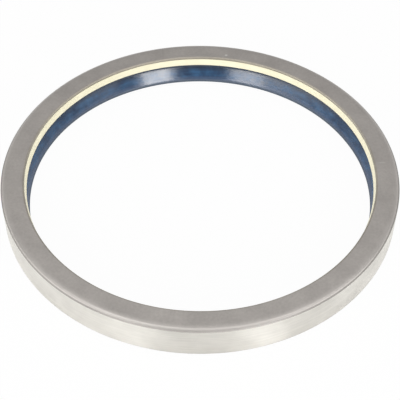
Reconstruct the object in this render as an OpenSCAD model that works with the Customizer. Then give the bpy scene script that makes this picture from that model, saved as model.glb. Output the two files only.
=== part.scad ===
// Combination shaft seal: a turned steel case with a dirt scraper and a sprung sealing lip.
// The Z axis is the shaft's axis. Z = 0 is the oil side, and the flange on top is the air side.

/* [Fit in the machine] */
// Diameter of the housing bore that the case is pressed into
housing_d = 205; // [203:0.5:230]
// Diameter of the shaft that the lips run on
shaft_d = 180; // [150:0.5:182]
// Width of the seal along the shaft
seal_w = 18; // [16:0.5:26]

/* [Outer case] */
// Thickness of the sheet that the case is drawn from
sheet_t = 2; // [1.5:0.1:2.4]
// Stock turned off the outside of the drawn cup
turn_cut = 0.7; // [0.2:0.05:0.9]
// Outside radius of the drawn corner
bend_r = 3.4; // [2.6:0.1:4.5]
// Clearance between the flange's bore and the shaft
flange_gap = 0.5; // [0.3:0.05:1.5]
// Radius rolled on the flange's bore by the press tool
edge_roll = 1.1; // [0.3:0.05:1.3]
// How far the sheared edge leans outwards below the rolled radius
edge_lean = 0.45; // [0.1:0.05:0.8]
// Height of the lead-in chamfer at the oil-side rim
lead_h = 0.6; // [0.2:0.05:1.5]
// Depth of the lead-in chamfer
lead_d = 0.3; // [0.1:0.05:0.6]

/* [Scraper ring] */
// Thickness of the scraper ring under the flange
scraper_h = 4; // [3:0.1:5]
// How far the free scraper tip stands inside the shaft's surface
scraper_bite = 0.3; // [0.1:0.01:0.6]
// Height of the tip above the ring's underside
tip_rise = 1.1; // [0.4:0.05:1.6]
// Depth of the undercut behind the tip
undercut_d = 3.15; // [2.2:0.05:3.3]
// Clearance round the scraper ring in the case
scraper_play = 0.15; // [0:0.05:0.4]

/* [Carrier ring] */
// Thickness of the carrier's sheet
carrier_t = 1.5; // [1:0.1:1.8]
// Outside radius of the carrier's corner
carrier_bend_r = 2.5; // [2:0.1:3]
// Height of the carrier's open rim above the oil side
carrier_rim_z = 2.5; // [1:0.1:4]
// Distance from the shaft to the inner end of the carrier's leg
leg_gap = 4.4; // [4:0.1:5]

/* [Sealing lip] */
// How far the free sealing edge stands inside the shaft's surface
lip_bite = 0.7; // [0.3:0.05:1]
// Height of the sealing edge above the oil side
edge_z = 1.1; // [0.9:0.05:1.6]
// Width of the trimmed contact band
band_w = 0.8; // [0.3:0.05:1.2]
// Slope of the lip's air-side flank from the axis, in degrees
flank_a = 25; // [20:0.5:28]
// Slope of the lip's oil-side flank from the axis, in degrees
oil_a = 45; // [35:1:50]
// Height of the toe above the oil side
toe_z = 0.4; // [0.2:0.05:0.6]
// Radial thickness of the lip's arm
arm_t = 1.8; // [1.5:0.1:2.2]
// Rubber between the sealing edge and the spring
head_t = 2.2; // [1.8:0.1:2.6]
// How far the head wraps round past the middle of the spring
head_wrap = 0.35; // [0.1:0.05:0.6]
// Rubber above the spring groove
crown_t = 0.7; // [0.4:0.05:1]
// Height of the taper between the head and the arm
head_taper = 1.3; // [0.8:0.1:1.8]
// Rubber skin on top of the carrier's leg
skin_t = 0.5; // [0.3:0.05:0.8]
// Rubber lining inside the carrier
lining_t = 0.9; // [0.5:0.05:1.2]
// Bare steel left at the carrier's open rim
bare_rim = 0.8; // [0.4:0.1:1.5]
// Height of the upright wall beside the grease space under the scraper
grease_h = 2.5; // [2.2:0.1:4.2]
// Fillet radius in the corners of the oil-side channel
fillet_r = 1.2; // [0.6:0.1:1.4]

/* [Garter spring] */
// Outside diameter of the wound spring
spring_d = 2.4; // [2:0.1:2.8]
// Height of the spring above the middle of the contact band
spring_rise = 1; // [0.8:0.05:1.3]
// Clearance between the spring and its groove
spring_play = 0.05; // [0.03:0.01:0.1]

/* [Hidden] */
$fn = 180;
arc_steps = 10;

// Radii and heights that more than one piece shares
shaft_r = shaft_d / 2;
housing_r = housing_d / 2;
case_in_r = housing_r + turn_cut - sheet_t;
flange_r = shaft_r + flange_gap;
flange_z = seal_w - sheet_t;
roll_z = seal_w - edge_roll;
lean_r = flange_r + edge_lean;
bend_c = [housing_r + turn_cut - bend_r, seal_w - bend_r];
scraper_z = flange_z - scraper_h;
groove_root_r = shaft_r - scraper_bite + undercut_d;
leg_r = shaft_r + leg_gap;
leg_z = scraper_z - skin_t;
carrier_in_r = case_in_r - carrier_t;
carrier_bend_c = [case_in_r - carrier_bend_r, leg_z - carrier_bend_r];
edge_r = shaft_r - lip_bite;
band_z = edge_z + band_w;
groove_r = spring_d / 2 + spring_play;
spring_c = [edge_r + head_t + groove_r, edge_z + band_w / 2 + spring_rise];

// Points of an arc about c, with angles in degrees from the outward direction
function arc(c, r, from, to) =
    [for (i = [0:arc_steps]) let (a = from + (to - from) * i / arc_steps)
        c + r * [cos(a), sin(a)]];

// Radius of the lip's air-side flank at a height
function flank(z) = edge_r + (z - band_z) * tan(flank_a);

// Radius of the arm's back at a height
function arm_back(z) = flank(z) + arm_t;

// Drawn cup with a flange. The turned outside cuts the raw corner at a crisp line.
module outer_case() {
    color([0.74, 0.73, 0.71])
    rotate_extrude() polygon(concat(
        [[case_in_r, 0], [housing_r - lead_d, 0], [housing_r, lead_h]],
        arc(bend_c, bend_r, acos((bend_r - turn_cut) / bend_r), 90),
        arc([flange_r + edge_roll, roll_z], edge_roll, 90, 180),
        [[lean_r, flange_z]],
        arc(bend_c, bend_r - sheet_t, 90, 0)
    ));
}

// Moulded ring clamped under the flange. Its conical bore ends in a scraping tip.
module scraper_ring() {
    out_r = case_in_r - scraper_play;
    color([0.98, 0.95, 0.84])
    rotate_extrude() polygon([
        [groove_root_r, scraper_z],
        [out_r, scraper_z],
        [out_r, bend_c[1]],
        [bend_c[0], flange_z],
        [lean_r, flange_z],
        [flange_r, roll_z],
        [shaft_r - scraper_bite, scraper_z + tip_rise]
    ]);
}

// Angle ring pressed into the case. It clamps the scraper and carries the rubber.
module carrier_ring() {
    color([0.62, 0.62, 0.62])
    rotate_extrude() polygon(concat(
        [[carrier_in_r, carrier_rim_z], [case_in_r, carrier_rim_z]],
        arc(carrier_bend_c, carrier_bend_r, 0, 90),
        [[leg_r, leg_z], [leg_r, leg_z - carrier_t]],
        arc(carrier_bend_c, carrier_bend_r - carrier_t, 90, 0)
    ));
}

// Rubber moulded round the carrier's leg, with the sealing lip hanging from it in front of the channel.
module sealing_lip() {
    lining_r = carrier_in_r - lining_t;
    roof_z = leg_z - carrier_t - lining_t;
    fillet_z = roof_z - fillet_r;
    head_r = spring_c[0] + head_wrap;
    crown_z = spring_c[1] + groove_r + crown_t;
    taper_z = crown_z + head_taper;
    flank_top_z = scraper_z - grease_h;
    color([0.2, 0.3, 0.45])
    rotate_extrude() difference() {
        polygon(concat(
            [[edge_r, edge_z], [edge_r + (edge_z - toe_z) * tan(oil_a), toe_z]],
            arc([head_r - toe_z, 2 * toe_z], toe_z, -90, 0),
            [[head_r, crown_z], [arm_back(taper_z), taper_z]],
            arc([arm_back(fillet_z) + fillet_r / cos(flank_a), fillet_z], fillet_r, 180 - flank_a, 90),
            arc([lining_r - fillet_r, fillet_z], fillet_r, 90, 0),
            [[lining_r, carrier_rim_z + bare_rim], [carrier_in_r, carrier_rim_z + bare_rim]],
            arc(carrier_bend_c, carrier_bend_r - carrier_t, 0, 90),
            [[leg_r, leg_z - carrier_t], [leg_r, leg_z]],
            arc(carrier_bend_c, carrier_bend_r, 90, 0),
            [[case_in_r, scraper_z], [groove_root_r, scraper_z]],
            [[flank(flank_top_z), flank_top_z], [edge_r, band_z]]
        ));
        translate(spring_c) circle(groove_r);
    }
}

// Closed ring of wound wire that holds the lip on the shaft, drawn at its outside size.
module garter_spring() {
    color([0.7, 0.7, 0.72])
    rotate_extrude() translate(spring_c) circle(spring_d / 2);
}

outer_case();
scraper_ring();
carrier_ring();
sealing_lip();
garter_spring();
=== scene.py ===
from math import pi, radians

import bpy
import numpy as np
from mathutils import Matrix


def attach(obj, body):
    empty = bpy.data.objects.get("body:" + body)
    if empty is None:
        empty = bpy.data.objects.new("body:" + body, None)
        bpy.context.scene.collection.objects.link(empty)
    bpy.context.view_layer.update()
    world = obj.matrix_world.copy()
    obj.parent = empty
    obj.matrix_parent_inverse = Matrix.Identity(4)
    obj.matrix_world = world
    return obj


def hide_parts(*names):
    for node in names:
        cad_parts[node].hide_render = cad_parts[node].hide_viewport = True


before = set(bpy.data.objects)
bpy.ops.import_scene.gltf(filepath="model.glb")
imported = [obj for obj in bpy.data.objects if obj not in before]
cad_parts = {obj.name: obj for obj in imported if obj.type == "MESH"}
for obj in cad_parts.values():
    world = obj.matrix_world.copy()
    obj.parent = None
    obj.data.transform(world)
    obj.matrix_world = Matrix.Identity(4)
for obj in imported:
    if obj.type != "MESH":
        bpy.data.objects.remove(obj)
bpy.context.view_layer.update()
scene = bpy.context.scene

# Camera
# The photograph's own viewpoint, found by fitting the ring's edges in it: just over half a metre from
# the ring, 47 degrees above the bench, through a long lens. The oil side stands on the bench.
camera_place = (0.0, -0.39145, 0.4156)
camera_tilt = radians(42.953)
camera_roll = radians(0.287)
camera_lens = bpy.data.cameras.new("camera")
camera_lens.lens = 97.12
camera_lens.sensor_width = 36.0
camera_lens.clip_start = 0.02
camera = bpy.data.objects.new("camera", camera_lens)
camera_turn = Matrix.Rotation(camera_tilt, 4, "X") @ Matrix.Rotation(camera_roll, 4, "Z")
camera.matrix_world = Matrix.Translation(camera_place) @ camera_turn
scene.collection.objects.link(camera)
scene.camera = camera
scene.view_settings.view_transform = "Standard"


# Bench
# A plain white bench top. The camera and mirror rays see it as the white of a product photograph, and
# mirrors see a painted pool of light on it left and right of the ring, beside the reflectors. The share
# of its own matt surface that is left carries the ring's soft shadow.
bench_half = 3.0
bench_white = 0.8
# Shares of pure white. The mirrors' share, a painted pool of light, rises between two distances to
# either side, in metres.
camera_share = 0.96
mirror_share = 0.2
painted_light_share = 0.55
side_start = 0.05
side_full = 0.1


def shader_node(tree, kind, sockets=None, **settings):
    """Adds a node to a tree. Settings are its properties, and sockets gives inputs a value or a link."""
    node = tree.nodes.new(kind)
    for name, value in settings.items():
        setattr(node, name, value)
    for name, value in (sockets or {}).items():
        if isinstance(value, bpy.types.NodeSocket):
            tree.links.new(value, node.inputs[name])
        else:
            node.inputs[name].default_value = value
    return node


def calc(tree, operation, *values):
    """A Math node fed with numbers and links. Gives its result."""
    return shader_node(tree, "ShaderNodeMath", dict(enumerate(values)), operation=operation).outputs[0]


bench_corners = [(-bench_half, -bench_half, 0), (bench_half, -bench_half, 0),
                 (bench_half, bench_half, 0), (-bench_half, bench_half, 0)]
bench_mesh = bpy.data.meshes.new("bench")
bench_mesh.from_pydata(bench_corners, [], [(0, 1, 2, 3)])
bench = bpy.data.objects.new("bench", bench_mesh)
scene.collection.objects.link(bench)
bench_paint = bpy.data.materials.new("white bench")
bench_paint.use_nodes = True
tree = bench_paint.node_tree
tree.nodes.clear()
rays = shader_node(tree, "ShaderNodeLightPath")
to_camera = calc(tree, "MULTIPLY", rays.outputs["Is Camera Ray"], camera_share)
where = shader_node(tree, "ShaderNodeTexCoord").outputs["Object"]
aside = calc(tree, "ABSOLUTE", shader_node(tree, "ShaderNodeSeparateXYZ", {0: where}).outputs["X"])
side_rise = {"From Min": side_start, "From Max": side_full, "To Min": mirror_share, "To Max": painted_light_share}
# A painted pool of light, seen only in mirrors
gleam = shader_node(tree, "ShaderNodeMapRange", {"Value": aside, **side_rise},
                    interpolation_type="SMOOTHSTEP")
to_mirror = calc(tree, "MULTIPLY", rays.outputs["Is Glossy Ray"], gleam.outputs[0])
share = calc(tree, "MAXIMUM", to_camera, to_mirror)
matt = shader_node(tree, "ShaderNodeBsdfDiffuse", {"Color": (bench_white, bench_white, bench_white, 1)})
white = shader_node(tree, "ShaderNodeEmission", {"Color": (1, 1, 1, 1), "Strength": 1.0})
mixed = shader_node(tree, "ShaderNodeMixShader", {0: share, 1: matt.outputs[0], 2: white.outputs[0]})
shader_node(tree, "ShaderNodeOutputMaterial", {"Surface": mixed.outputs[0]})
bench_mesh.materials.append(bench_paint)

# Studio
# A white room with a faint softbox overhead. On each side there are a high softbox, a broad one in front,
# one at the rear and a low reflector on the bench. Narrow low ones left and right of the camera, the left
# one with a weaker fill beside it, draw the upright bright bands on the case and the rubber.
room_light = 0.5
unit_watts = 4.0
room = bpy.data.worlds.new("white room")
scene.world = room
room.use_nodes = True
tree = room.node_tree
tree.nodes.clear()
rays = shader_node(tree, "ShaderNodeLightPath")
seen = shader_node(tree, "ShaderNodeMapRange", {"Value": rays.outputs["Is Camera Ray"],
                                                "To Min": room_light, "To Max": 1.0})
walls = shader_node(tree, "ShaderNodeBackground", {"Color": (1, 1, 1, 1), "Strength": seen.outputs[0]})
shader_node(tree, "ShaderNodeOutputWorld", {"Surface": walls.outputs[0]})


def softbox(name, azimuth, elevation, distance, width, height, radiance):
    """An area lamp on a circle round the ring, turned to face the middle of it. A lamp shines at radiance 1
    when it has the unit's watts for each square metre of its face."""
    lamp = bpy.data.lights.new(name, "AREA")
    lamp.shape = "RECTANGLE"
    lamp.size = width
    lamp.size_y = height
    lamp.energy = unit_watts * width * height * radiance
    lamp_object = bpy.data.objects.new(name, lamp)
    around = Matrix.Rotation(radians(azimuth), 4, "Z")
    upwards = Matrix.Rotation(radians(90.0 - elevation), 4, "X")
    lamp_object.matrix_world = around @ upwards @ Matrix.Translation((0.0, 0.0, distance))
    scene.collection.objects.link(lamp_object)


# Each row holds a name, the azimuth from the front towards the right and the elevation in degrees, the
# distance, width and height in metres, and the radiance
softboxes = [
    ("overhead softbox", 0.0, 72.0, 1.0, 1.1, 0.5, 0.2),
    ("high left softbox", -92.0, 72.0, 1.0, 0.6, 0.45, 0.98),
    ("front left softbox", -58.0, 34.0, 1.0, 1.1, 0.5, 0.88),
    ("high right softbox", 92.0, 72.0, 1.0, 0.6, 0.45, 0.82),
    ("front right softbox", 58.0, 34.0, 1.0, 1.1, 0.5, 0.92),
    ("rear left softbox", -130.0, 24.0, 1.0, 0.8, 0.28, 0.25),
    ("rear right softbox", 130.0, 24.0, 1.0, 0.8, 0.28, 0.25),
    ("left reflector", -81.0, 9.6, 1.0, 1.1, 0.28, 2.25),
    ("right reflector", 80.0, 8.0, 1.0, 1.05, 0.28, 1.3),
    ("left softbox", -29.2, 8.5, 0.8, 0.287, 0.15, 8.0),
    ("left fill", -46.5, 8.5, 0.8, 0.17, 0.15, 3.0),
    ("right softbox", 27.3, 12.0, 0.8, 0.257, 0.21, 9.4),
]
for softbox_row in softboxes:
    softbox(*softbox_row)

# Outer case
# A cup drawn from 2 mm steel sheet with an inward flange. The sheet keeps its matt rolled skin, and
# the outside is turned bright for the press fit, which cuts the drawn corner at a crisp line.
MM = 0.001

# The corners of a section in order round the material, each a radius, a height and a fillet in millimetres
case_corners = [(101.2, 0.0, 0.12), (102.2, 0.0, 0.08), (102.5, 0.6, 0.12), (102.5, 16.666, 0.012),
                (101.678, 17.74, 3.1), (99.2, 18.0, 15.0), (90.5, 18.0, 1.05), (90.5, 16.9, 0.15),
                (90.95, 16.0, 0.12), (101.2, 16.0, 1.4)]
arc_steps = 8
corner_points = arc_steps + 1
turned_corners = 4
case_around = 512


def rounded(corners, steps):
    """Points and outward directions along a closed outline in the (radius, height) plane.
    Each corner (radius, height, fillet) becomes an arc that touches both of its edges: the arc starts
    fillet * tan(turn / 2) before the corner, and its outward direction turns with it."""
    table = np.array(corners, float)
    point, fillet = table[:, :2] * MM, table[:, 2] * MM
    ahead = np.roll(point, -1, axis=0) - point
    ahead /= np.linalg.norm(ahead, axis=1)[:, None]
    behind = np.roll(ahead, 1, axis=0)
    turn = np.arctan2(behind[:, 0] * ahead[:, 1] - behind[:, 1] * ahead[:, 0], (behind * ahead).sum(1))
    side = np.sign(turn)
    start = point - behind * (fillet * np.tan(np.abs(turn) / 2))[:, None]
    facing = np.arctan2(-behind[:, 0], behind[:, 1])
    angle = facing[:, None] + turn[:, None] * np.linspace(0.0, 1.0, steps + 1)
    outward = np.stack([np.cos(angle), np.sin(angle)], axis=2)
    centre = start - (side * fillet)[:, None] * outward[:, 0]
    arc = centre[:, None] + (side * fillet)[:, None, None] * outward
    return arc.reshape(-1, 2), outward.reshape(-1, 2)


def grid_piece(name, points, normals):
    """A closed surface on a grid that joins up in both directions: points and normals have one row for
    each step of the first direction, and each face lies between two rows and two columns."""
    rows, columns = points.shape[:2]
    row, column = np.meshgrid(np.arange(rows), np.arange(columns), indexing="ij")
    next_row, next_column = (row + 1) % rows, (column + 1) % columns
    faces = np.stack([row * columns + column, row * columns + next_column,
                      next_row * columns + next_column, next_row * columns + column], axis=2)
    mesh = bpy.data.meshes.new(name)
    mesh.from_pydata(points.reshape(-1, 3).tolist(), [], faces.reshape(-1, 4).tolist())
    mesh.polygons.foreach_set("use_smooth", np.ones(rows * columns, bool))
    mesh.normals_split_custom_set_from_vertices(normals.reshape(-1, 3).tolist())
    piece = bpy.data.objects.new(name, mesh)
    scene.collection.objects.link(piece)
    return piece


def ring(name, corners, steps, around):
    """A closed ring: the rounded outline carried round the shaft's axis. At angle a the point (radius,
    height) stands at (radius * cos a, radius * sin a, height), and its normal turns with it."""
    angle = np.linspace(0.0, 2.0 * pi, around, endpoint=False)

    def carried(pair):
        height = np.broadcast_to(pair[:, 1:], (len(pair), around))
        return np.stack([pair[:, :1] * np.cos(angle), pair[:, :1] * np.sin(angle), height], axis=2)

    line, facing = rounded(corners, steps)
    return grid_piece(name, carried(line), carried(facing))


case = ring("drawn_case", case_corners, arc_steps, case_around)
# The faces from the rim's outer corner up to the crisp line, which is the fourth corner, are turned
face_row = np.repeat(np.arange(len(case_corners) * corner_points), case_around)
turned = (face_row >= corner_points) & (face_row < turned_corners * corner_points - 1)
case.data.polygons.foreach_set("material_index", turned.astype(np.int32))
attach(case, "root")
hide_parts("outer_case")


def node_group(name, inputs, outputs):
    """A new shader node group. Inputs are (name, kind, value) and outputs are (name, kind)."""
    tree = bpy.data.node_groups.new(name, "ShaderNodeTree")
    for label, kind, value in inputs:
        socket = tree.interface.new_socket(label, in_out="INPUT", socket_type="NodeSocket" + kind)
        socket.default_value = value
    for label, kind in outputs:
        tree.interface.new_socket(label, in_out="OUTPUT", socket_type="NodeSocket" + kind)
    return tree, tree.nodes.new("NodeGroupInput").outputs, tree.nodes.new("NodeGroupOutput")


def contrasted(tree, value, contrast):
    """Spreads a value about one half by a contrast, and keeps it between 0 and 1."""
    raised = calc(tree, "MULTIPLY_ADD", calc(tree, "SUBTRACT", value, 0.5), contrast, 0.5)
    return shader_node(tree, "ShaderNodeClamp", {"Value": raised}).outputs[0]


# Where a point is on the ring: its radius and height in metres, its direction from the axis, and how far
# that direction points to the back, from -1 in front to 1 at the back
ring_place, given, result = node_group(
    "Ring place", [], [("Radius", "Float"), ("Height", "Float"), ("Direction", "Vector"),
                       ("Backwards", "Float")])
where = shader_node(ring_place, "ShaderNodeTexCoord").outputs["Object"]
across = shader_node(ring_place, "ShaderNodeVectorMath", {0: where, 1: (1, 1, 0)}, operation="MULTIPLY")
length = shader_node(ring_place, "ShaderNodeVectorMath", {0: across.outputs[0]}, operation="LENGTH")
unit = shader_node(ring_place, "ShaderNodeVectorMath", {0: across.outputs[0]}, operation="NORMALIZE")
ring_place.links.new(length.outputs["Value"], result.inputs["Radius"])
height = shader_node(ring_place, "ShaderNodeSeparateXYZ", {0: where}).outputs["Z"]
ring_place.links.new(height, result.inputs["Height"])
ring_place.links.new(unit.outputs[0], result.inputs["Direction"])
backwards = shader_node(ring_place, "ShaderNodeSeparateXYZ", {0: unit.outputs[0]}).outputs["Y"]
ring_place.links.new(backwards, result.inputs["Backwards"])

# Fine lines that run round the ring, as a lathe tool or a turned mould leaves them. Spacing is their
# distance in metres, and Wander how much they change on the way round.
turned_lines, given, result = node_group(
    "Turned lines", [("Spacing", "Float", 0.0004), ("Wander", "Float", 4.0), ("Contrast", "Float", 1.5)],
    [("Value", "Float")])
place = shader_node(turned_lines, "ShaderNodeGroup", node_tree=ring_place).outputs
drop = calc(turned_lines, "SUBTRACT", place["Radius"], place["Height"])
along = calc(turned_lines, "DIVIDE", drop, given["Spacing"])
wander = shader_node(turned_lines, "ShaderNodeVectorMath", {0: place["Direction"],
                                                            "Scale": given["Wander"]}, operation="SCALE")
turn = shader_node(turned_lines, "ShaderNodeSeparateXYZ", {0: wander.outputs[0]})
seat = shader_node(turned_lines, "ShaderNodeCombineXYZ", {"X": turn.outputs["X"], "Y": turn.outputs["Y"],
                                                          "Z": along})
noise = shader_node(turned_lines, "ShaderNodeTexNoise", {"Vector": seat.outputs[0], "Scale": 1.0,
                                                         "Detail": 2.0, "Roughness": 0.5})
turned_lines.links.new(contrasted(turned_lines, noise.outputs["Fac"], given["Contrast"]),
                       result.inputs["Value"])

# Soft uneven patches of one size, from oil, handling and the surface itself
patches, given, result = node_group(
    "Patches", [("Size", "Float", 0.01), ("Detail", "Float", 2.0), ("Contrast", "Float", 1.5)],
    [("Value", "Float")])
where = shader_node(patches, "ShaderNodeTexCoord").outputs["Object"]
scale = calc(patches, "DIVIDE", 1.0, given["Size"])
noise = shader_node(patches, "ShaderNodeTexNoise", {"Vector": where, "Scale": scale,
                                                    "Detail": given["Detail"], "Roughness": 0.55})
patches.links.new(contrasted(patches, noise.outputs["Fac"], given["Contrast"]), result.inputs["Value"])

# A soft-edged band between two places, which are radii or heights in metres or values of Backwards
band, given, result = node_group(
    "Band", [("Place", "Float", 0.0), ("From", "Float", 0.0), ("To", "Float", 1.0),
             ("Softness", "Float", 0.0002)], [("Mask", "Float")])


def soft_edge(tree, place, middle, softness, low, high):
    """Goes smoothly from low to high while the place passes from a softness before the middle to a
    softness after it."""
    start = calc(tree, "SUBTRACT", middle, softness)
    end = calc(tree, "ADD", middle, softness)
    rise = {"Value": place, "From Min": start, "From Max": end, "To Min": low, "To Max": high}
    return shader_node(tree, "ShaderNodeMapRange", rise, interpolation_type="SMOOTHSTEP").outputs[0]


begun = soft_edge(band, given["Place"], given["From"], given["Softness"], 0.0, 1.0)
unended = soft_edge(band, given["Place"], given["To"], given["Softness"], 1.0, 0.0)
inside = calc(band, "MULTIPLY", begun, unended)
band.links.new(inside, result.inputs["Mask"])

# Small round specks of dust or light dirt: a share of the cells of a cell pattern hold one
specks, given, result = node_group(
    "Specks", [("Cell", "Float", 0.004), ("Size", "Float", 0.1), ("Share", "Float", 0.15)],
    [("Mask", "Float")])
where = shader_node(specks, "ShaderNodeTexCoord").outputs["Object"]
scale = calc(specks, "DIVIDE", 1.0, given["Cell"])
cells = shader_node(specks, "ShaderNodeTexVoronoi", {"Vector": where, "Scale": scale})
dice = shader_node(specks, "ShaderNodeSeparateColor", {"Color": cells.outputs["Color"]})
holds = calc(specks, "LESS_THAN", dice.outputs["Red"], given["Share"])
spread = calc(specks, "MULTIPLY", given["Size"], dice.outputs["Green"])
near = shader_node(specks, "ShaderNodeMapRange", {"Value": cells.outputs["Distance"], "From Min": 0.0,
                                                  "From Max": spread, "To Min": 1.0, "To Max": 0.0})
specks.links.new(calc(specks, "MULTIPLY", holds, near.outputs[0]), result.inputs["Mask"])

# One soft-edged mark at a known place: its middle and its half sizes along the axes, in metres. It is
# whole over the inner 0.4 of its reach and fades out from there.
spot, given, result = node_group(
    "Spot", [("Middle", "Vector", (0.0, 0.0, 0.0)), ("Reach", "Vector", (1.0, 1.0, 1.0))],
    [("Mask", "Float")])
where = shader_node(spot, "ShaderNodeTexCoord").outputs["Object"]
away = shader_node(spot, "ShaderNodeVectorMath", {0: where, 1: given["Middle"]}, operation="SUBTRACT")
away = shader_node(spot, "ShaderNodeVectorMath", {0: away.outputs[0], 1: given["Reach"]}, operation="DIVIDE")
away = shader_node(spot, "ShaderNodeVectorMath", {0: away.outputs[0]}, operation="LENGTH")
near = shader_node(spot, "ShaderNodeMapRange", {"Value": away.outputs["Value"], "From Min": 0.4,
                                                "To Min": 1.0, "To Max": 0.0})
spot.links.new(near.outputs[0], result.inputs["Mask"])


def placed(tree, group, **sockets):
    """The first output of a node group put into a tree. Sockets are named with _ for a space."""
    fed = {label.replace("_", " "): value for label, value in sockets.items()}
    return shader_node(tree, "ShaderNodeGroup", fed, node_tree=group).outputs[0]


def tinted(tree, share, first, second, blend="MIX"):
    """Mixes two colours by a share. Each is a colour or a link."""
    pair = [value if isinstance(value, bpy.types.NodeSocket) else (*value, 1.0) for value in (first, second)]
    mixer = shader_node(tree, "ShaderNodeMix", {0: share}, data_type="RGBA", blend_type=blend)
    for socket, value in zip((mixer.inputs[6], mixer.inputs[7]), pair):
        if isinstance(value, bpy.types.NodeSocket):
            tree.links.new(value, socket)
        else:
            socket.default_value = value
    return mixer.outputs[2]


def weighted(tree, first, *others):
    """Adds up values by their shares. Each part is (value, share)."""
    total = calc(tree, "MULTIPLY", *first)
    for value, share in others:
        total = calc(tree, "MULTIPLY_ADD", value, share, total)
    return total


def new_material(piece, name, **constants):
    """A material on a piece, with the shader's constants set on its own sockets. Sockets are named with
    _ for a space."""
    material = bpy.data.materials.new(name)
    material.use_nodes = True
    tree = material.node_tree
    shader = tree.nodes["Principled BSDF"]
    for label, value in constants.items():
        shader.inputs[label.replace("_", " ")].default_value = value
    piece.data.materials.append(material)
    return tree, shader


def feed(tree, shader, colour, roughness, height, strength, depth):
    """Links the colour and roughness to the shader, and the height through a Bump to its normal."""
    bump = shader_node(tree, "ShaderNodeBump", {"Height": height, "Strength": strength, "Distance": depth})
    tree.links.new(colour, shader.inputs["Base Color"])
    tree.links.new(roughness, shader.inputs["Roughness"])
    tree.links.new(bump.outputs[0], shader.inputs["Normal"])


def span(tree, value, low, high):
    """Spreads a value from 0 to 1 over the span from low to high."""
    return shader_node(tree, "ShaderNodeMapRange", {"Value": value, "To Min": low, "To Max": high}).outputs[0]


# The sheet's skin: matt and a little blotchy, pressed smooth round the drawn corner and brighter there,
# partly its own pressed skin and partly a painted highlight, and darker in the last, unturned strip before
# the turned outside, less so in front, where light is painted on. The roll has a painted yellow reflection
# of the cream, and painted shade below it at the back. A chip and a rub mark stand at known places.
sheet_dark = (0.409, 0.383, 0.361)
sheet_light = (0.574, 0.541, 0.511)
pressed_highlight_colour = (0.585, 0.554, 0.523)
raw_dark = (0.285, 0.271, 0.254)
cream_reflection_tint = (0.88, 0.866, 0.795)
under_roll_shade_tint = (0.74, 0.73, 0.7)
sheet_mark = (0.75, 0.74, 0.7)
pressed_highlight_share = 0.8
raw_share = 0.95
painted_front_light_share = 0.5
dirt_share = 0.5
rub_share = 0.3
pressed_smoother = -0.15
raw_rougher = 0.08
tree, shader = new_material(case, "rolled sheet", Metallic=1.0)
place = shader_node(tree, "ShaderNodeGroup", node_tree=ring_place).outputs
blotches = placed(tree, patches, Size=0.011, Detail=3.0, Contrast=1.8)
grain = placed(tree, patches, Size=0.00045, Detail=2.0, Contrast=1.6)
pits = placed(tree, patches, Size=0.0014, Detail=3.0, Contrast=2.0)
skin = tinted(tree, weighted(tree, (blotches, 0.4), (pits, 0.4), (grain, 0.2)), sheet_dark, sheet_light)
corner = calc(tree, "MULTIPLY",
              placed(tree, band, Place=place["Radius"], From=0.1003, To=0.11, Softness=0.0013),
              placed(tree, band, Place=place["Height"], From=0.0172, To=0.02, Softness=0.0001))
rolled = placed(tree, band, Place=place["Radius"], From=0.08, To=0.0914, Softness=0.0003)
below = placed(tree, band, Place=place["Height"], From=0.01, To=0.0177, Softness=0.0002)
back = placed(tree, band, Place=place["Backwards"], From=0.58, To=2.0, Softness=0.36)
under_roll_shade = calc(tree, "MULTIPLY", calc(tree, "MULTIPLY", below, rolled), back)
raw = calc(tree, "MULTIPLY",
           placed(tree, band, Place=place["Height"], From=0.016, To=0.01728, Softness=0.0001),
           placed(tree, band, Place=place["Radius"], From=0.1015, To=0.11, Softness=0.0001))
# Painted light in front, which lightens the dark strip there
painted_front_light = placed(tree, band, Place=place["Backwards"], From=-2.0, To=-0.91, Softness=0.06)
raw = calc(tree, "MULTIPLY", raw, span(tree, painted_front_light, raw_share, painted_front_light_share))
# A painted highlight on the pressed corner, partly its own brighter pressed skin
skin = tinted(tree, calc(tree, "MULTIPLY", corner, pressed_highlight_share), skin, pressed_highlight_colour)
skin = tinted(tree, raw, skin, raw_dark)
# A painted reflection of the cream on the roll
skin = tinted(tree, rolled, skin, cream_reflection_tint, "MULTIPLY")
# Painted shade below the roll at the back
skin = tinted(tree, under_roll_shade, skin, under_roll_shade_tint, "MULTIPLY")
dirt = placed(tree, specks, Cell=0.009, Size=0.08, Share=0.12)
skin = tinted(tree, calc(tree, "MULTIPLY", dirt, dirt_share), skin, sheet_mark)
chip = placed(tree, spot, Middle=(0.01466, 0.09264, 0.018), Reach=(0.0011, 0.0009, 1.0))
rub = placed(tree, spot, Middle=(0.0944, 0.0059, 0.018), Reach=(0.0024, 0.0006, 1.0))
skin = tinted(tree, calc(tree, "MULTIPLY_ADD", rub, rub_share, chip), skin, sheet_mark)
dull = span(tree, blotches, low=0.47, high=0.56)
dull = calc(tree, "MULTIPLY_ADD", corner, pressed_smoother, dull)
dull = calc(tree, "MULTIPLY_ADD", raw, raw_rougher, dull)
feed(tree, shader, skin, dull, grain, strength=0.3, depth=0.00003)


def lay_round(tree, shader):
    """Lays the shader's grain round the shaft's axis, so that its lines spread light across themselves."""
    tangent = shader_node(tree, "ShaderNodeTangent", direction_type="RADIAL", axis="Z")
    tree.links.new(tangent.outputs[0], shader.inputs["Tangent"])
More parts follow.
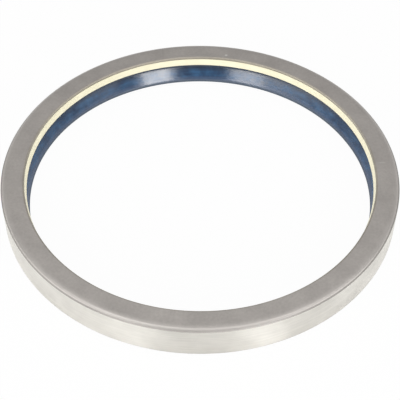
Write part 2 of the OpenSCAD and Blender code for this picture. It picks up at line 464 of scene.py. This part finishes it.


# The turned outside: bright, with fine lines round it that spread the light up and down, and painted
# shade on the lead-in chamfer and just above it, which makes them a little greyer
turned_shade = (0.621, 0.602, 0.558)
turned_bright = (0.9, 0.875, 0.817)
lead_in_shade_tint = (0.86, 0.86, 0.87)
tree, shader = new_material(case, "turned steel", Metallic=1.0, Anisotropic=0.93, Anisotropic_Rotation=0.25)
lay_round(tree, shader)
lines = placed(tree, turned_lines, Spacing=0.0006, Wander=6.0, Contrast=1.6)
blotches = placed(tree, patches, Size=0.016, Detail=3.0, Contrast=1.6)
place = shader_node(tree, "ShaderNodeGroup", node_tree=ring_place).outputs
lead_in = placed(tree, band, Place=place["Height"], From=-0.001, To=0.0008, Softness=0.0002)
metal = tinted(tree, weighted(tree, (blotches, 0.6), (lines, 0.4)), turned_shade, turned_bright)
# Painted shade on the lead-in chamfer
metal = tinted(tree, lead_in, metal, lead_in_shade_tint, "MULTIPLY")
feed(tree, shader, metal, span(tree, blotches, low=0.285, high=0.325), lines, strength=0.1, depth=0.000005)

# Scraper ring
# A cream polyurethane ring with a turned conical bore that ends in a sharp scraping tip. The flange and
# the carrier's rubber skin clamp it in the case. It carries painted shade at the back, a little darker there.
scraper_corners = [(92.85, 12.0, 0.12), (101.05, 12.0, 0.2), (101.05, 14.6, 0.3), (99.8, 16.0, 0.3),
                   (90.95, 16.0, 0.05), (90.5, 16.9, 0.1), (89.7, 13.1, 0.08)]
cream_deep = (0.785, 0.733, 0.52)
cream_light = (0.935, 0.89, 0.685)
cream_back_shade_tint = (0.915, 0.915, 0.915)
cream_dust = (0.5, 0.44, 0.3)
cream_dust_share = 0.4
scraper = ring("scraper", scraper_corners, steps=6, around=512)
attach(scraper, "root")
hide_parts("scraper_ring")
tree, shader = new_material(scraper, "cream polyurethane", IOR=1.5)
cloud = placed(tree, patches, Size=0.007, Detail=2.0, Contrast=1.4)
lines = placed(tree, turned_lines, Spacing=0.0007, Wander=3.0, Contrast=1.5)
cream = tinted(tree, weighted(tree, (cloud, 0.6), (lines, 0.4)), cream_deep, cream_light)
dust = placed(tree, specks, Cell=0.006, Size=0.07, Share=0.1)
cream = tinted(tree, calc(tree, "MULTIPLY", dust, cream_dust_share), cream, cream_dust)
place = shader_node(tree, "ShaderNodeGroup", node_tree=ring_place).outputs
back = placed(tree, band, Place=place["Backwards"], From=0.55, To=2.0, Softness=0.4)
# Painted shade at the back
cream = tinted(tree, back, cream, cream_back_shade_tint, "MULTIPLY")
feed(tree, shader, cream, span(tree, cloud, low=0.38, high=0.5), lines, strength=0.2, depth=0.00002)

# Carrier ring
# An angle ring pressed from 1.5 mm sheet and phosphated dull grey, so that the rubber bonds to it. It is
# pressed into the case and holds the scraper. Only its open rim shows, from the oil side.
carrier_corners = [(99.7, 2.5, 0.15), (101.2, 2.5, 0.3), (101.2, 11.5, 2.5), (94.4, 11.5, 0.1),
                   (94.4, 10.0, 0.1), (99.7, 10.0, 1.0)]
phosphate_dark = (0.13, 0.13, 0.135)
phosphate_light = (0.27, 0.27, 0.275)
carrier = ring("carrier", carrier_corners, steps=6, around=384)
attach(carrier, "root")
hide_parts("carrier_ring")
tree, shader = new_material(carrier, "phosphated sheet", Metallic=0.7)
crystals = placed(tree, patches, Size=0.0003, Detail=3.0, Contrast=2.2)
cloud = placed(tree, patches, Size=0.008, Detail=2.0, Contrast=1.6)
grey = tinted(tree, weighted(tree, (cloud, 0.4), (crystals, 0.6)), phosphate_dark, phosphate_light)
feed(tree, shader, grey, span(tree, crystals, low=0.5, high=0.7), crystals, strength=0.4, depth=0.00004)

# Sealing lip
# Blue nitrile rubber moulded round the carrier's leg. The thin arm carries the head with the sealing
# edge and the spring's groove, and the mould's own turning lines stay in the glossy skin. The rubber
# carries painted shade in the recess under the scraper, is paler towards the edge, and matt where the edge is
# trimmed.
lip_corners = [(89.3, 1.1, 0.03), (90.0, 0.4, 0.15), (93.1, 0.4, 0.4), (93.1, 1.3, 0.08),
               (92.248, 1.0505, 1.1), (91.216, 2.5, 1.1), (92.248, 3.9495, 1.1), (93.1, 3.7, 0.08),
               (93.1, 4.45, 0.3), (92.895, 5.75, 0.4), (94.457, 9.1, 1.2), (98.8, 9.1, 1.2),
               (98.8, 3.3, 0.2), (99.7, 3.3, 0.05), (99.7, 10.0, 1.0), (94.4, 10.0, 0.1),
               (94.4, 11.5, 0.1), (101.2, 11.5, 0.4), (101.2, 12.0, 0.05), (92.85, 12.0, 0.12),
               (92.844, 9.5, 0.5), (89.3, 1.9, 0.03)]
blue_deep = (0.001, 0.012, 0.045)
blue_light = (0.021, 0.092, 0.205)
shaded_blue = (0.002, 0.01, 0.03)
cut_blue = (0.055, 0.08, 0.12)
pale_edge_blue = (0.065, 0.09, 0.155)
blue_dust = (0.25, 0.27, 0.3)
shaded_share = 0.8
pale_edge_share = 0.62
blue_dust_share = 0.35
rim_rougher = 0.15
cut_rougher = 0.35
line_height = 0.3
lip = ring("sealing_lip_rubber", lip_corners, steps=6, around=512)
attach(lip, "root")
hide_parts("sealing_lip")
tree, shader = new_material(lip, "blue nitrile rubber", Anisotropic=0.5, Anisotropic_Rotation=0.25, IOR=1.65)
lay_round(tree, shader)
cloud = placed(tree, patches, Size=0.0045, Detail=3.0, Contrast=2.2)
lines = placed(tree, turned_lines, Spacing=0.0007, Wander=8.0, Contrast=2.4)
blue = tinted(tree, weighted(tree, (cloud, 0.65), (lines, 0.35)), blue_deep, blue_light)
dust = placed(tree, specks, Cell=0.005, Size=0.06, Share=0.1)
blue = tinted(tree, calc(tree, "MULTIPLY", dust, blue_dust_share), blue, blue_dust)
place = shader_node(tree, "ShaderNodeGroup", node_tree=ring_place).outputs
# Painted shade in the recess under the scraper
recess = placed(tree, band, Place=place["Height"], From=0.0079, To=0.02, Softness=0.0016)
# Paler towards the sealing edge
pale_edge = placed(tree, band, Place=place["Height"], From=-0.001, To=0.0039, Softness=0.0009)
trimmed = calc(tree, "MULTIPLY",
               placed(tree, band, Place=place["Height"], From=-0.001, To=0.0025, Softness=0.0005),
               placed(tree, band, Place=place["Radius"], From=0.08, To=0.0905, Softness=0.0001))
blue = tinted(tree, calc(tree, "MULTIPLY", recess, shaded_share), blue, shaded_blue)
blue = tinted(tree, calc(tree, "MULTIPLY", pale_edge, pale_edge_share), blue, pale_edge_blue)
blue = tinted(tree, trimmed, blue, cut_blue)
rim = placed(tree, band, Place=place["Height"], From=0.0092, To=0.02, Softness=0.0006)
gloss = span(tree, cloud, low=0.17, high=0.25)
gloss = calc(tree, "MULTIPLY_ADD", rim, rim_rougher, gloss)
gloss = calc(tree, "MULTIPLY_ADD", trimmed, cut_rougher, gloss)
peel = placed(tree, patches, Size=0.0016, Detail=2.0, Contrast=1.6)
peel = calc(tree, "ADD", peel, calc(tree, "MULTIPLY", lines, line_height))
feed(tree, shader, blue, gloss, peel, strength=0.6, depth=0.00002)

# Garter spring
# Bright spring wire wound close and joined to a ring, which lies in the groove behind the sealing edge
# and holds the lip on the shaft. Its tapered end is screwed into the other one.
ring_radius = 92.75
ring_height = 2.5
spring_half = 1.2
wire_half = 0.21
spring_turns = 1296
steps_per_turn = 12
wire_sides = 6
joint_angle = 0.8 * pi
joint_half = 0.055
joint_depth = 0.16


def wound_ring():
    """Points and normals of a wire wound round a circle. The wire's middle runs round the coil's own
    circle once for each turn while it moves round the ring: at ring angle u and coil angle v it stands
    at radius R + c * cos v and height h + c * sin v, where R and h are the ring's radius and height and
    c is the coil's radius. The skin stands half a wire off it, in the plane of the coil's outward
    direction and the wire's own side direction. At the joint, c is less by
    joint_depth * exp(-((u - joint_angle) / joint_half) ** 4)."""
    step = np.arange(spring_turns * steps_per_turn)
    u = step * (2.0 * pi / len(step))
    v = step * (2.0 * pi / steps_per_turn)
    flat = np.zeros_like(u)
    out = np.stack([np.cos(u), np.sin(u), flat], axis=1)
    upward = np.array([0.0, 0.0, 1.0])
    narrowed = joint_depth * np.exp(-((u - joint_angle) / joint_half) ** 4)
    coil = (spring_half - wire_half - narrowed) * MM
    lift = np.cos(v)[:, None] * out + np.sin(v)[:, None] * upward
    middle = ring_radius * MM * out + ring_height * MM * upward + coil[:, None] * lift
    run = np.roll(middle, -1, axis=0) - np.roll(middle, 1, axis=0)
    run /= np.linalg.norm(run, axis=1)[:, None]
    side = np.cross(lift, run)
    side /= np.linalg.norm(side, axis=1)[:, None]
    w = np.arange(wire_sides) * (2.0 * pi / wire_sides)
    normals = np.cos(w)[:, None, None] * lift - np.sin(w)[:, None, None] * side
    return middle[None] + wire_half * MM * normals, normals


wire_points, wire_normals = wound_ring()
spring = grid_piece("wound_spring", wire_points, wire_normals)
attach(spring, "root")
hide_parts("garter_spring")
wire_dark = (0.48, 0.47, 0.46)
wire_bright = (0.7, 0.69, 0.68)
tree, shader = new_material(spring, "spring wire", Metallic=1.0)
cloud = placed(tree, patches, Size=0.003, Detail=2.0, Contrast=1.8)
grain = placed(tree, patches, Size=0.0002, Detail=2.0, Contrast=1.6)
wire = tinted(tree, weighted(tree, (cloud, 0.6), (grain, 0.4)), wire_dark, wire_bright)
feed(tree, shader, wire, span(tree, cloud, low=0.29, high=0.38), grain, strength=0.15, depth=0.00001)
